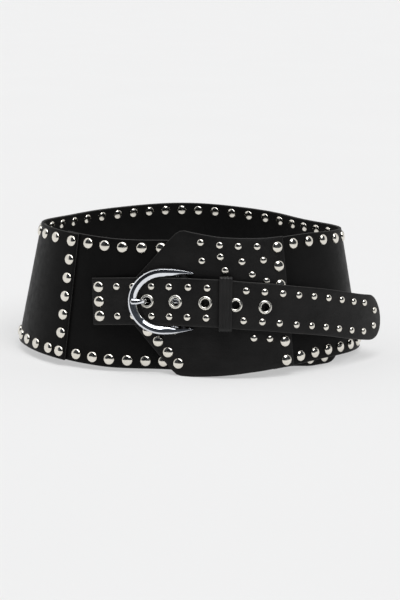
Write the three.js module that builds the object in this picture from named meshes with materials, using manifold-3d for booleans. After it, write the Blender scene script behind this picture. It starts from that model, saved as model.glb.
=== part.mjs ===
import * as THREE from 'three';
import { mergeVertices } from 'three/addons/utils/BufferGeometryUtils.js';
import Module from 'manifold-3d';

// ---------------------------------------------------------------- sizes, mm
const PANEL_HEIGHT = 110;        // cut height of the side and front left panels
const LEATHER = 2.2;             // thickness of panels and strap
const RIVET_RADIUS = 4.75;
const RIVET_RISE = 1.5;
const CAP_RISE = 1.1;            // rivet backs on the inside of the long panel
const CAP_RADIUS = 4.2;
const STUD_RADIUS = 3.0;
const STUD_RISE = 0.9;
const RIVET_SIDES = 7;
const STUD_SIDES = 6;
const ROW_LOW = 7;               // rivet rows above the bottom edge
const ROW_HIGH = 103;
const COLUMN_PITCH = 16;
const SIDE_EDGE = 101.4;         // front edge of the long panel at the left seam, along the belt
const LEFT_COLUMN = 107.6;
const RIGHT_COLUMN = -79.6;
const SIDE_END = -70;            // end of the long panel, under the flap
const FRONT_START = 118;         // start of the front left panel, under the long panel
const FRONT_END = -150;          // its other end, inside the long panel
const FRONT_CORNER = 18;
const FLAP_EDGE = -86.4;
const FLOOR = -0.6;              // height of the standing surface before the part is centred
const COLUMN_STEP = 4.4;         // degrees between the panel sections

const STRAP_WIDTH = 40;
const STRAP_START = 43.1;        // azimuth of the square end
const STRAP_LENGTH = 286.3;
const STRAP_STEP = 6;
const STRAP_ROW = 12.5;          // stud rows either side of the middle
const STRAP_FIRST_STUD = 22.5;
const STRAP_SECOND_STUD = 36.2;
const STRAP_PITCH = 15.84;
const STRAP_STUDS = 15;          // from the second on
const STRAP_RIVET_AT = 6.2;
const STRAP_RIVET_SPREAD = 12.4;
const EYELET_COUNT = 5;
const EYELET_FIRST = 48.3;
const EYELET_PITCH = 25.05;
const EYELET_HOLE = 3.4;
const EYELET_BARREL = 3.8;
const EYELET_FLANGE = 6.0;
const EYELET_BACK = 4.9;
const EYELET_CUT = 4.2;
const KEEPER_AT = 115.2;
const KEEPER_TURN = 3.4;         // degrees the loop stands turned on the strap
const KEEPER_WIDTH = 10.8;
const KEEPER_WALL = 1.3;
const KEEPER_TALL = 43.4;
const KEEPER_DEEP = 5.2;
const KEEPER_PROUD = 0.35;       // the loop stands clear of the studs and eyelets under it

const BAR_AT = 79.3;             // along the strap
const BAR_OFFSET = 8.6;          // out from the belt surface
const BAR_RADIUS = 1.45;
const FRAME_TILT = 14.3;         // degrees, round end away from the belt
const FRAME_TURN = -1.2;         // degrees in its own plane, round end down
const FRAME_ROUND_AT = 17.5;     // centre of the round end, from the bar
const FRAME_LONG = 25.8;
const FRAME_TALL = 24.2;
const FRAME_ARM_END = -7.6;
const FRAME_ARM_SPREAD = 23.4;
const FRAME_WIDE = 6.8;
const FRAME_THICK = 3.6;
const PRONG_WIDE = 4.2;
const PRONG_THICK = 1.9;
const PRONG_RING = 3.0;
const CHAPE_WALL = 1.15;
const CHAPE_HALF = 17;
const CHAPE_FOLD = 20.9;         // half the width of the fold round the bar
const CHAPE_LENGTH = 22;
const CHAPE_SLOT = 3.1;
const CHAPE_LIFT = 0.9;           // clear of the flap

// plan of the belt at mid height: radius by azimuth (0 = front, + = left side of the picture),
// how far the wall leans out over its height, and how high its bottom edge is carried
const PLAN = [
  { azimuth: -180.0, radius: 136.5, flare: 12.0, lift: -0.9 },
  { azimuth: -157.5, radius: 128.2, flare: 13.3, lift: -0.9 },
  { azimuth: -135.0, radius: 126.5, flare: 17.5, lift: -0.9 },
  { azimuth: -112.5, radius: 130.1, flare: 21.1, lift: -0.4 },
  { azimuth: -90.0, radius: 144.9, flare: 21.1, lift: 2.2 },
  { azimuth: -67.5, radius: 134.1, flare: 19.0, lift: 5.9 },
  { azimuth: -45.0, radius: 121.3, flare: 17.3, lift: 6.7 },
  { azimuth: -22.5, radius: 108.6, flare: 16.6, lift: 3.6 },
  { azimuth: 0.0, radius: 93.5, flare: 15.5, lift: 2.6 },
  { azimuth: 22.5, radius: 95.0, flare: 14.1, lift: 2.4 },
  { azimuth: 45.0, radius: 116.8, flare: 14.3, lift: 4.0 },
  { azimuth: 67.5, radius: 133.8, flare: 17.7, lift: 6.0 },
  { azimuth: 90.0, radius: 141.8, flare: 22.4, lift: 4.6 },
  { azimuth: 112.5, radius: 135.1, flare: 22.5, lift: 1.2 },
  { azimuth: 135.0, radius: 135.0, flare: 19.0, lift: -0.9 },
  { azimuth: 157.5, radius: 134.0, flare: 14.8, lift: -0.9 },
];

// layers, out from the plan surface, by distance along the belt from the front
const SIDE_LAYER = [
  { along: -400, out: 0 }, { along: 0, out: 0 }, { along: 100, out: 1.4 },
  { along: 125, out: 1.4 }, { along: 165, out: 0 }, { along: 500, out: 0 },
];
const FRONT_LAYER = [
  { along: -160, out: -5.6 }, { along: -90, out: -5.6 }, { along: -70, out: -5.2 }, { along: -30, out: -3.6 },
  { along: 0, out: -1.8 }, { along: 20, out: -0.6 }, { along: 40, out: 0 }, { along: 60, out: 0 },
  { along: 85, out: -1.35 }, { along: 130, out: -1.35 },
];
const FLAP_LAYER = [
  { along: -95, out: 2.7 }, { along: -60, out: 2.7 }, { along: -30, out: 3.0 },
  { along: 0, out: 3.6 }, { along: 20, out: 4.0 }, { along: 60, out: 4.0 },
];
// bottom edge of the front left panel
const FRONT_BOTTOM = [
  { along: -160, low: -7.2 }, { along: -115, low: -6.3 }, { along: -90, low: -2.4 },
  { along: -67, low: -0.6 }, { along: -40, low: 0 }, { along: 130, low: 0 },
];
// flap outline, pointed end first
const FLAP_OUTLINE = [
  { along: 54.5, low: 54.2, high: 64.6 },
  { along: 52.5, low: 50.0, high: 68.7 },
  { along: 17.0, low: 7.5, high: 111.3 },
  { along: 12.0, low: 1.5, high: 116.4 },
  { along: 8.0, low: -2.2, high: 118.8 },
  { along: 4.0, low: -3.5, high: 119.5 },
  { along: -3.0, low: -3.5, high: 118.4 },
  { along: -28.0, low: -1.5, high: 115.3 },
  { along: -48.0, low: 0.3, high: 113.8 },
  { along: -70.0, low: 1.3, high: 112.0 },
  { along: -87.0, low: 0.6, high: 111.3 },
];
const FLAP_RIVETS = [
  { along: 31.5, up: 33.6 }, { along: 23.0, up: 25.2 }, { along: 14.8, up: 16.2 }, { along: 6.4, up: 7.3 },
];
const FLAP_STUDS = [
  { along: -11.4, up: 110.2 }, { along: -28.3, up: 108.4 }, { along: -44.4, up: 107.1 }, { along: -60.8, up: 105.6 },
  { along: -12.6, up: 94.8 }, { along: -28.7, up: 98.7 }, { along: -47.0, up: 94.1 }, { along: -65.6, up: 93.7 },
  { along: -32.5, up: 87.4 }, { along: -55.1, up: 82.6 }, { along: -67.2, up: 75.9 },
  { along: -53.6, up: 29.4 }, { along: -66.6, up: 27.3 },
];
const FRONT_ROW_HIGH = [{ along: 92.2 }, { along: 75.8 }, { along: 59.4 }, { along: 42.6 }, { along: 25.2 }];
const FRONT_ROW_LOW = [{ along: 93 }, { along: 78.1 }, { along: 63.3 }, { along: 48.5 }, { along: 33.6 }, { along: 19.2 }];
const UNDERLAP_RIVETS = [{ along: -111.4, up: 0.6 }, { along: -128.6, up: -0.2 }];
// rivet rows of the long panel, counted from the left column round the back
const TOP_ROW = [
  { rivet: 0, along: 107.6 }, { rivet: 1, along: 129.0 }, { rivet: 3, along: 172.0 }, { rivet: 6, along: 237.7 },
  { rivet: 9, along: 305.6 }, { rivet: 12, along: 361.8 }, { rivet: 16, along: 432.2 }, { rivet: 21, along: 532.6 },
  { rivet: 24, along: 590.0 }, { rivet: 27, along: 653.5 },
];
const BOTTOM_ROW = [
  { rivet: 0, along: 107.6 }, { rivet: 1, along: 119.6 }, { rivet: 2, along: 136.3 }, { rivet: 3, along: 153.0 },
  { rivet: 20, along: 430.0 },
];

// strap middle line: out from the belt surface, and up it
const STRAP_LINE = [
  { azimuth: 60, out: 2.6, up: 52.4 }, { azimuth: 46, out: 2.6, up: 54.6 }, { azimuth: 41, out: 2.8, up: 56.0 },
  { azimuth: 36, out: 5.2, up: 57.6 }, { azimuth: 30, out: 7.5, up: 58.9 }, { azimuth: 23, out: 9.3, up: 59.8 },
  { azimuth: 16, out: 11.3, up: 60.5 }, { azimuth: 9, out: 13.5, up: 61.1 }, { azimuth: 4, out: 14.2, up: 61.7 }, { azimuth: 0, out: 13.8, up: 61.8 },
  { azimuth: -8, out: 11.6, up: 61.6 }, { azimuth: -16, out: 9.3, up: 60.7 }, { azimuth: -24, out: 8.4, up: 58.5 },
  { azimuth: -32, out: 8.0, up: 55.7 }, { azimuth: -44, out: 9.4, up: 49.6 }, { azimuth: -58, out: 13.3, up: 42.5 },
  { azimuth: -72, out: 18.0, up: 34.4 }, { azimuth: -79, out: 22.0, up: 31.2 }, { azimuth: -90, out: 30.0, up: 28.0 },
];

const TIP_STUDS = [{ run: 274.8, across: 6.2 }, { run: 272.8, across: -7.2 }];

// ---------------------------------------------------------------- tables and surface
const wasm = await Module();
wasm.setup();
const RAD = Math.PI / 180;

// closed curve through the rows of the plan
function harmonics(key) {
  const n = PLAN.length;
  const rows = [];
  for (let k = 0; k <= n / 2; k++) {
    let a = 0;
    let b = 0;
    for (const row of PLAN) {
      a += (2 / n) * row[key] * Math.cos(k * row.azimuth * RAD);
      b += (2 / n) * row[key] * Math.sin(k * row.azimuth * RAD);
    }
    const share = k === 0 || k === n / 2 ? 0.5 : 1;
    rows.push({ k, a: a * share, b: b * share });
  }
  return (phi) => rows.reduce((sum, r) => sum + r.a * Math.cos(r.k * phi) + r.b * Math.sin(r.k * phi), 0);
}
const radiusAt = harmonics('radius');
const flareAt = harmonics('flare');
const liftAt = harmonics('lift');

function surface(phi, up, out) {
  const lean = flareAt(phi) / PANEL_HEIGHT;
  const r = radiusAt(phi) + (PANEL_HEIGHT / 2 - up) * lean + out;
  return new THREE.Vector3(-r * Math.sin(phi), -r * Math.cos(phi), liftAt(phi) + up * Math.sqrt(1 - lean * lean));
}

// smooth reading of a table without overshoot
function smooth(table, xKey, yKey) {
  const rows = [...table].sort((p, q) => p[xKey] - q[xKey]);
  const x = rows.map((r) => r[xKey]);
  const y = rows.map((r) => r[yKey]);
  const n = x.length;
  const d = [];
  for (let i = 0; i < n - 1; i++) d.push((y[i + 1] - y[i]) / (x[i + 1] - x[i]));
  const m = x.map((_, i) => {
    if (i === 0) return d[0];
    if (i === n - 1) return d[n - 2];
    if (d[i - 1] * d[i] <= 0) return 0;
    const w1 = 2 * (x[i + 1] - x[i]) + (x[i] - x[i - 1]);
    const w2 = x[i + 1] - x[i] + 2 * (x[i] - x[i - 1]);
    return (w1 + w2) / (w1 / d[i - 1] + w2 / d[i]);
  });
  return (v) => {
    let i = 0;
    while (i < n - 2 && v > x[i + 1]) i++;
    const h = x[i + 1] - x[i];
    const t = Math.min(1, Math.max(0, (v - x[i]) / h));
    const t2 = t * t;
    const t3 = t2 * t;
    return (2 * t3 - 3 * t2 + 1) * y[i] + (t3 - 2 * t2 + t) * h * m[i] + (-2 * t3 + 3 * t2) * y[i + 1] + (t3 - t2) * h * m[i + 1];
  };
}

function straight(table, xKey, yKey) {
  const rows = [...table].sort((p, q) => p[xKey] - q[xKey]);
  return (v) => {
    let i = 0;
    while (i < rows.length - 2 && v > rows[i + 1][xKey]) i++;
    const t = (v - rows[i][xKey]) / (rows[i + 1][xKey] - rows[i][xKey]);
    return rows[i][yKey] + t * (rows[i + 1][yKey] - rows[i][yKey]);
  };
}

// distance along the belt at mid height, front = 0, left side of the picture positive
const ROUND_STEPS = 1440;
const roundPhi = [];
const roundAlong = [];
{
  let previous = null;
  let sum = 0;
  for (let i = 0; i <= ROUND_STEPS * 1.5; i++) {
    const phi = -Math.PI + (2 * Math.PI * i) / ROUND_STEPS;
    const p = surface(phi, PANEL_HEIGHT / 2, 0);
    if (previous) sum += p.distanceTo(previous);
    previous = p;
    roundPhi.push(phi);
    roundAlong.push(sum);
  }
  const front = roundAlong[ROUND_STEPS / 2];
  for (let i = 0; i < roundAlong.length; i++) roundAlong[i] -= front;
}
function search(xs, ys, v) {
  let lo = 0;
  let hi = xs.length - 1;
  while (hi - lo > 1) {
    const mid = (lo + hi) >> 1;
    if (xs[mid] <= v) lo = mid; else hi = mid;
  }
  return ys[lo] + ((v - xs[lo]) / (xs[hi] - xs[lo])) * (ys[hi] - ys[lo]);
}
const phiOf = (along) => search(roundAlong, roundPhi, along);
const alongOf = (phi) => search(roundPhi, roundAlong, phi);
const ROUND = alongOf(Math.PI) - alongOf(-Math.PI);

const sideOut = (along) => smooth(SIDE_LAYER, 'along', 'out')(along > 400 ? along - ROUND : along);
const frontOut = smooth(FRONT_LAYER, 'along', 'out');
const flapOut = smooth(FLAP_LAYER, 'along', 'out');
const frontLow = smooth(FRONT_BOTTOM, 'along', 'low');
const flapLow = straight(FLAP_OUTLINE, 'along', 'low');
const flapHigh = straight(FLAP_OUTLINE, 'along', 'high');

// frame on a layer: point, out direction, up direction
function seat(along, up, outAt) {
  const phi = phiOf(along);
  const e = 0.002;
  const a = surface(phi - e, up, outAt(alongOf(phi - e)));
  const b = surface(phi + e, up, outAt(alongOf(phi + e)));
  const p = surface(phi, up, outAt(along));
  const rise = surface(phi, up + 1, outAt(along)).sub(p).normalize();
  const run = b.sub(a).normalize();
  const normal = new THREE.Vector3().crossVectors(rise, run).normalize();
  if (normal.dot(new THREE.Vector3(p.x, p.y, 0)) < 0) normal.negate();
  return { p, normal, rise };
}

// ---------------------------------------------------------------- solids
function geometryOf(points, faces) {
  const g = new THREE.BufferGeometry();
  g.setAttribute('position', new THREE.Float32BufferAttribute(points.flatMap((p) => [p.x, p.y, p.z]), 3));
  g.setIndex(faces.flat());
  return g;
}
function volumeOf(g) {
  const p = g.attributes.position;
  const ix = g.index.array;
  let v = 0;
  const a = new THREE.Vector3();
  const b = new THREE.Vector3();
  const c = new THREE.Vector3();
  for (let i = 0; i < ix.length; i += 3) {
    a.fromBufferAttribute(p, ix[i]);
    b.fromBufferAttribute(p, ix[i + 1]);
    c.fromBufferAttribute(p, ix[i + 2]);
    v += a.dot(b.cross(c)) / 6;
  }
  return v;
}
function solidOf(g) {
  let m = g.clone();
  m.deleteAttribute('normal');
  m.deleteAttribute('uv');
  m = mergeVertices(m, 1e-5);
  const triVerts = new Uint32Array(m.index.array);
  if (volumeOf(m) < 0) for (let i = 0; i < triVerts.length; i += 3) [triVerts[i], triVerts[i + 1]] = [triVerts[i + 1], triVerts[i]];
  return new wasm.Manifold(new wasm.Mesh({ numProp: 3, vertProperties: new Float32Array(m.attributes.position.array), triVerts }));
}
function backToGeometry(solid) {
  const mesh = solid.getMesh();
  const g = new THREE.BufferGeometry();
  const points = new Float32Array((mesh.vertProperties.length / mesh.numProp) * 3);
  for (let i = 0; i < points.length / 3; i++) for (let k = 0; k < 3; k++) points[3 * i + k] = mesh.vertProperties[i * mesh.numProp + k];
  g.setAttribute('position', new THREE.BufferAttribute(points, 3));
  g.setIndex(new THREE.BufferAttribute(new Uint32Array(mesh.triVerts), 1));
  return g;
}

// closed strip through rings of points
function loft(rings, closed = false) {
  const n = rings[0].length;
  const faces = [];
  const last = closed ? rings.length : rings.length - 1;
  for (let i = 0; i < last; i++) {
    const j = (i + 1) % rings.length;
    for (let k = 0; k < n; k++) {
      const k2 = (k + 1) % n;
      faces.push([i * n + k, j * n + k, j * n + k2], [i * n + k, j * n + k2, i * n + k2]);
    }
  }
  if (!closed) {
    const end = (rings.length - 1) * n;
    for (let k = 1; k < n - 1; k++) {
      faces.push([0, k, k + 1], [end, end + k + 1, end + k]);
    }
  }
  return geometryOf(rings.flat(), faces);
}

function panel(from, to, lowAt, highAt, outAt, extra = []) {
  const stops = new Set(extra);
  const p0 = phiOf(from);
  const p1 = phiOf(to);
  const n = Math.ceil(Math.abs(p1 - p0) / (COLUMN_STEP * RAD));
  const cuts = [];
  for (let i = 0; i <= n; i++) cuts.push(alongOf(p0 + ((p1 - p0) * i) / n));
  cuts[0] = from;
  cuts[n] = to;
  for (const s of stops) {
    let near = 0;
    cuts.forEach((c, i) => { if (Math.abs(c - s) < Math.abs(cuts[near] - s)) near = i; });
    if (Math.abs(cuts[near] - s) < 1.2 && near > 0 && near < cuts.length - 1) cuts[near] = s; else cuts.push(s);
  }
  cuts.sort((a, b) => (from < to ? a - b : b - a));
  const half = LEATHER / 2;
  const rings = cuts.filter((c, i) => i === 0 || Math.abs(c - cuts[i - 1]) > 1e-6).map((along) => {
    const low = seat(along, lowAt(along), outAt);
    const high = seat(along, highAt(along), outAt);
    return [
      low.p.clone().addScaledVector(low.normal, half), high.p.clone().addScaledVector(high.normal, half),
      high.p.clone().addScaledVector(high.normal, -half), low.p.clone().addScaledVector(low.normal, -half),
    ];
  });
  return solidOf(loft(rings));
}

// low dome on a face, sunk a little into the leather
function dome({ p, normal, rise }, radius, height, sides) {
  const side = new THREE.Vector3().crossVectors(rise, normal).normalize();
  const upright = new THREE.Vector3().crossVectors(normal, side);
  const rows = [[radius, -0.5], [radius * 0.6, height]];
  const rings = rows.map(([r, z]) => Array.from({ length: sides }, (_, i) => {
    const a = ((i + 0.5) / sides) * 2 * Math.PI;
    return p.clone().addScaledVector(side, r * Math.cos(a)).addScaledVector(upright, r * Math.sin(a)).addScaledVector(normal, z);
  }));
  return solidOf(loft(rings));
}
function onFace(place, face) {
  return { p: place.p.clone().addScaledVector(place.normal, (face * LEATHER) / 2), normal: place.normal.clone().multiplyScalar(face), rise: place.rise };
}
const rivetOn = (place) => dome(onFace(place, 1), RIVET_RADIUS, RIVET_RISE, RIVET_SIDES);
const capOn = (place) => dome(onFace(place, -1), CAP_RADIUS, CAP_RISE, STUD_SIDES);
const studOn = (place) => dome(onFace(place, 1), STUD_RADIUS, STUD_RISE, STUD_SIDES);
const join = (list) => wasm.Manifold.union(list);

// long panel: left seam, round the back, to the right seam
const right = RIGHT_COLUMN + ROUND;
const TOP_COUNT = 32;
const BOTTOM_COUNT = 40;
const rowOf = (table, count) => {
  const at = smooth([...table, { rivet: count - 1, along: right }], 'rivet', 'along');
  return Array.from({ length: count }, (_, i) => at(i));
};
const topRow = rowOf(TOP_ROW, TOP_COUNT);
const bottomRow = rowOf(BOTTOM_ROW, BOTTOM_COUNT);
const columnHeights = Array.from({ length: 7 }, (_, i) => ROW_LOW + COLUMN_PITCH * i);
const sidePlaces = [];
topRow.slice(0, -1).forEach((along) => sidePlaces.push({ along, up: ROW_HIGH }));
bottomRow.slice(0, -1).forEach((along) => sidePlaces.push({ along, up: ROW_LOW }));
columnHeights.slice(1, -1).forEach((up) => sidePlaces.push({ along: LEFT_COLUMN, up }));
const sideCaps = sidePlaces.filter((q) => q.up === ROW_HIGH && q.along > FRONT_START + CAP_RADIUS && q.along < ROUND + FRONT_END - 6);
const sideSolid = join([
  panel(SIDE_EDGE, SIDE_END + ROUND, () => 0, () => PANEL_HEIGHT, sideOut, [125, 165]),
  ...sidePlaces.map((q) => rivetOn(seat(q.along, q.up, sideOut))),
  ...sideCaps.map((q) => capOn(seat(q.along, q.up, sideOut))),
]);

// front left panel, one end rounded off at the bottom
const frontHigh = (along) => frontLow(along) + PANEL_HEIGHT;
const frontLowRounded = (along) => {
  const in_ = along - FRONT_END;
  if (in_ >= FRONT_CORNER) return frontLow(along);
  const h = FRONT_CORNER - in_;
  return frontLow(along) + FRONT_CORNER - Math.sqrt(Math.max(0, FRONT_CORNER ** 2 - h * h));
};
const frontPlaces = [
  ...FRONT_ROW_HIGH.map((q) => ({ along: q.along, up: ROW_HIGH })),
  ...FRONT_ROW_LOW.map((q) => ({ along: q.along, up: ROW_LOW })),
  ...UNDERLAP_RIVETS,
];
const frontSolid = join([
  panel(FRONT_START, FRONT_END, frontLowRounded, frontHigh, frontOut, [FRONT_END + 1.5, FRONT_END + 4, FRONT_END + 8, FRONT_END + 13, FRONT_END + 18]),
  ...frontPlaces.map((q) => rivetOn(seat(q.along, q.up, frontOut))),
]);

// flap
const flapSolid = join([
  panel(FLAP_OUTLINE[0].along, FLAP_EDGE, flapLow, flapHigh, flapOut, FLAP_OUTLINE.slice(1, -1).map((r) => r.along)),
  ...columnHeights.map((up) => rivetOn(seat(RIGHT_COLUMN, up, flapOut))),
  ...FLAP_RIVETS.map((q) => rivetOn(seat(q.along, q.up, flapOut))),
  ...FLAP_STUDS.map((q) => studOn(seat(q.along, q.up, flapOut))),
]);

// ---------------------------------------------------------------- strap
const strapOutAt = smooth(STRAP_LINE, 'azimuth', 'out');
const strapUpAt = smooth(STRAP_LINE, 'azimuth', 'up');
const linePhi = [];
const lineRun = [];
const linePoint = (phi) => surface(phi, strapUpAt(phi / RAD), strapOutAt(phi / RAD));
{
  let sum = 0;
  let previous = null;
  for (let a = STRAP_START; a > -95; a -= 0.1) {
    const p = linePoint(a * RAD);
    if (previous) sum += p.distanceTo(previous);
    previous = p;
    linePhi.push(a * RAD);
    lineRun.push(sum);
  }
}
function strapFrame(run) {
  const phi = search(lineRun, linePhi, run);
  const at = (x) => linePoint(search(lineRun, linePhi, x));
  const p = linePoint(phi);
  const along = at(run + 4).sub(at(Math.max(run - 4, -3))).normalize();
  const wall = surface(phi, strapUpAt(phi / RAD) + 1, 0).sub(surface(phi, strapUpAt(phi / RAD), 0));
  const wide = wall.addScaledVector(along, -wall.dot(along)).normalize();
  const normal = new THREE.Vector3().crossVectors(along, wide).normalize();
  return { p, along, wide, normal };
}
// point in strap coordinates: along, across, out
function strapPoint(run, across, out) {
  const f = strapFrame(run);
  return f.p.addScaledVector(f.wide, across).addScaledVector(f.normal, out);
}
const strapSeat = (run, across) => {
  const f = strapFrame(run);
  return { p: f.p.addScaledVector(f.wide, across), normal: f.normal, rise: f.wide };
};
const halfWidthAt = (run) => {
  const tip = run - (STRAP_LENGTH - STRAP_WIDTH / 2);
  return tip <= 0 ? STRAP_WIDTH / 2 : Math.max(2.5, Math.sqrt(Math.max(0, (STRAP_WIDTH / 2) ** 2 - tip * tip)));
};
const strapStops = [];
for (let s = 0; s < STRAP_LENGTH - STRAP_WIDTH / 2; s += STRAP_STEP) strapStops.push(s);
for (const t of [0, 0.25, 0.48, 0.66, 0.8, 0.9, 0.96, 1]) strapStops.push(STRAP_LENGTH - (STRAP_WIDTH / 2) * (1 - t));
const strapRings = strapStops.map((s) => {
  const h = halfWidthAt(s);
  const k = LEATHER / 2;
  return [strapPoint(s, -h, k), strapPoint(s, h, k), strapPoint(s, h, -k), strapPoint(s, -h, -k)];
});
function tubeAlong(place, profile, sides) {
  const side = new THREE.Vector3().crossVectors(place.rise, place.normal).normalize();
  const upright = new THREE.Vector3().crossVectors(place.normal, side);
  return Array.from({ length: sides }, (_, i) => {
    const a = ((i + 0.5) / sides) * 2 * Math.PI;
    return profile.map(([r, z]) => place.p.clone().addScaledVector(side, r * Math.cos(a)).addScaledVector(upright, r * Math.sin(a)).addScaledVector(place.normal, z));
  });
}
const EYELET_SIDES = 14;
const eyeletRuns = Array.from({ length: EYELET_COUNT }, (_, i) => EYELET_FIRST + i * EYELET_PITCH);
const holes = eyeletRuns.map((run) => {
  const place = strapSeat(run, 0);
  const rings = [-3, 3].map((z) => tubeAlong(place, [[EYELET_CUT / Math.cos(Math.PI / EYELET_SIDES), z]], EYELET_SIDES).map((q) => q[0]));
  return solidOf(loft(rings));
});
const studRuns = [STRAP_FIRST_STUD, ...Array.from({ length: STRAP_STUDS }, (_, i) => STRAP_SECOND_STUD + i * STRAP_PITCH)];
const strapSolid = join([
  solidOf(loft(strapRings)),
  ...studRuns.flatMap((run) => [studOn(strapSeat(run, STRAP_ROW)), studOn(strapSeat(run, -STRAP_ROW))]),
  ...TIP_STUDS.map((q) => studOn(strapSeat(q.run, q.across))),
  ...[-1, 0, 1].map((k) => rivetOn(strapSeat(STRAP_RIVET_AT, k * STRAP_RIVET_SPREAD))),
]).subtract(join(holes));

// eyelets: front flange, barrel, rolled back
const flangeGap = LEATHER / 2 + 0.42;
const eyeletProfile = [
  [EYELET_HOLE, flangeGap + 0.75], [EYELET_FLANGE - 0.9, flangeGap + 0.7], [EYELET_FLANGE, flangeGap],
  [EYELET_BARREL, flangeGap], [EYELET_BARREL, -flangeGap], [EYELET_BACK, -flangeGap], [EYELET_BACK, -flangeGap - 0.4], [EYELET_HOLE, -flangeGap - 0.4],
];
const eyeletGeometries = eyeletRuns.map((run) => loft(tubeAlong(strapSeat(run, 0), eyeletProfile, EYELET_SIDES), true));

// keeper loop
function roundedBox(halfA, halfB, r) {
  const out = [];
  for (const [sa, sb, start] of [[1, 1, 0], [-1, 1, 90], [-1, -1, 180], [1, -1, 270]]) {
    for (const t of [0, 45, 90]) {
      const a = (start + t) * RAD;
      out.push([sa * (halfA - r) + r * Math.cos(a), sb * (halfB - r) + r * Math.sin(a)]);
    }
  }
  return out;
}
function keeperBlock(halfA, halfB, r, width) {
  const f = strapFrame(KEEPER_AT);
  const turn = KEEPER_TURN * RAD;
  const along = f.along.clone().multiplyScalar(Math.cos(turn)).addScaledVector(f.wide, Math.sin(turn));
  const wide = f.wide.clone().multiplyScalar(Math.cos(turn)).addScaledVector(f.along, -Math.sin(turn));
  return solidOf(loft([-width / 2, width / 2].map((s) => roundedBox(halfA, halfB, r).map(([a, b]) => f.p.clone()
    .addScaledVector(along, s).addScaledVector(wide, a).addScaledVector(f.normal, b + KEEPER_PROUD)))));
}
const keeperSolid = keeperBlock(KEEPER_TALL / 2 + KEEPER_WALL, KEEPER_DEEP / 2 + KEEPER_WALL, 2.2, KEEPER_WIDTH)
  .subtract(keeperBlock(KEEPER_TALL / 2, KEEPER_DEEP / 2, 1.2, KEEPER_WIDTH + 4));

// ---------------------------------------------------------------- buckle
// buckle axes: x from the bar towards the round end, y up, z out of the belt
const barFrame = (() => {
  const f = strapFrame(BAR_AT);
  const phi = search(lineRun, linePhi, BAR_AT);
  const sink = strapOutAt(phi / RAD) - BAR_OFFSET;
  const turn = FRAME_TURN * RAD;
  const back = f.along.clone().negate();
  const x = back.clone().multiplyScalar(Math.cos(turn)).addScaledVector(f.wide, Math.sin(turn));
  const z = f.normal.clone();
  const t = FRAME_TILT * RAD;
  return {
    o: f.p.clone().addScaledVector(f.normal, -sink),
    x: x.clone().multiplyScalar(Math.cos(t)).addScaledVector(z, Math.sin(t)),
    y: f.wide.clone().multiplyScalar(Math.cos(turn)).addScaledVector(back, -Math.sin(turn)),
    z: z.clone().multiplyScalar(Math.cos(t)).addScaledVector(x, -Math.sin(t)),
  };
})();
const inBuckle = (x, y, z) => barFrame.o.clone().addScaledVector(barFrame.x, x).addScaledVector(barFrame.y, y).addScaledVector(barFrame.z, z);

// horseshoe: middle line, width and thickness along it
const frameStations = [];
const ARM_STOPS = [0, 0.12, 0.3, 0.6];
const armLength = FRAME_ROUND_AT - FRAME_ARM_END;
const armAt = (t, side) => ({
  x: FRAME_ARM_END + t * armLength,
  y: side * (FRAME_ARM_SPREAD + (FRAME_TALL - FRAME_ARM_SPREAD) * Math.sin((t * Math.PI) / 2)),
  size: 0.16 + 0.84 * Math.sin(Math.min(1, t * 1.25) * Math.PI / 2),
});
ARM_STOPS.forEach((t) => frameStations.push(armAt(t, 1)));
for (let i = 0; i <= 18; i++) {
  const a = 90 - i * 10;
  frameStations.push({ x: FRAME_ROUND_AT + FRAME_LONG * Math.cos(a * RAD), y: FRAME_TALL * Math.sin(a * RAD), size: 1 });
}
[...ARM_STOPS].reverse().forEach((t) => frameStations.push(armAt(t, -1)));
const frameRings = frameStations.map((s, i) => {
  const a = frameStations[Math.max(0, i - 1)];
  const b = frameStations[Math.min(frameStations.length - 1, i + 1)];
  const dx = b.x - a.x;
  const dy = b.y - a.y;
  const len = Math.hypot(dx, dy);
  const nx = -dy / len;
  const ny = dx / len;
  const w = (FRAME_WIDE / 2) * s.size;
  const h = (FRAME_THICK / 2) * (0.45 + 0.55 * s.size);
  return [[-w, -h * 0.55], [-w * 0.62, -h], [w * 0.62, -h], [w, -h * 0.55], [w, h * 0.1], [0, h], [-w, h * 0.1]]
    .map(([q, z]) => inBuckle(s.x + nx * q, s.y + ny * q, z));
});
const barReach = FRAME_TALL - 0.9;
const barRings = [-barReach, barReach].map((y) => Array.from({ length: 12 }, (_, i) => {
  const a = (i / 12) * 2 * Math.PI;
  return inBuckle(BAR_RADIUS * Math.cos(a), y, BAR_RADIUS * Math.sin(a));
}));
const frameSolid = join([solidOf(loft(frameRings)), solidOf(loft(barRings))]);

// prong: ring round the bar, shank under the strap, up through the first eyelet, over the round end
const prongLine = [
  { x: 1.2, z: -1.9 }, { x: 8, z: -1.8 }, { x: 14, z: -3.3 }, { x: 20, z: -5.5 }, { x: 23.9, z: -7.5 },
  { x: 28.1, z: -7.3 }, { x: 30.9, z: -3.9 }, { x: 32.7, z: -0.7 }, { x: 36.4, z: 2.2 }, { x: 39.6, z: 3.3 }, { x: 44.9, z: 3.4 },
];
const prongRings = prongLine.map((q, i) => {
  const a = prongLine[Math.max(0, i - 1)];
  const b = prongLine[Math.min(prongLine.length - 1, i + 1)];
  const len = Math.hypot(b.x - a.x, b.z - a.z);
  const nx = -(b.z - a.z) / len;
  const nz = (b.x - a.x) / len;
  const end = i === prongLine.length - 1 ? 0.6 : 1;
  const w = (PRONG_WIDE / 2) * end;
  const h = (PRONG_THICK / 2) * end;
  return [[-w, 0], [-w * 0.7, -h], [w * 0.7, -h], [w, 0], [w * 0.55, h], [-w * 0.55, h]].map(([y, z]) => inBuckle(q.x + nx * z, y, q.z + nz * z));
});
const ringWidth = PRONG_WIDE / 2 + 0.2;
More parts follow.
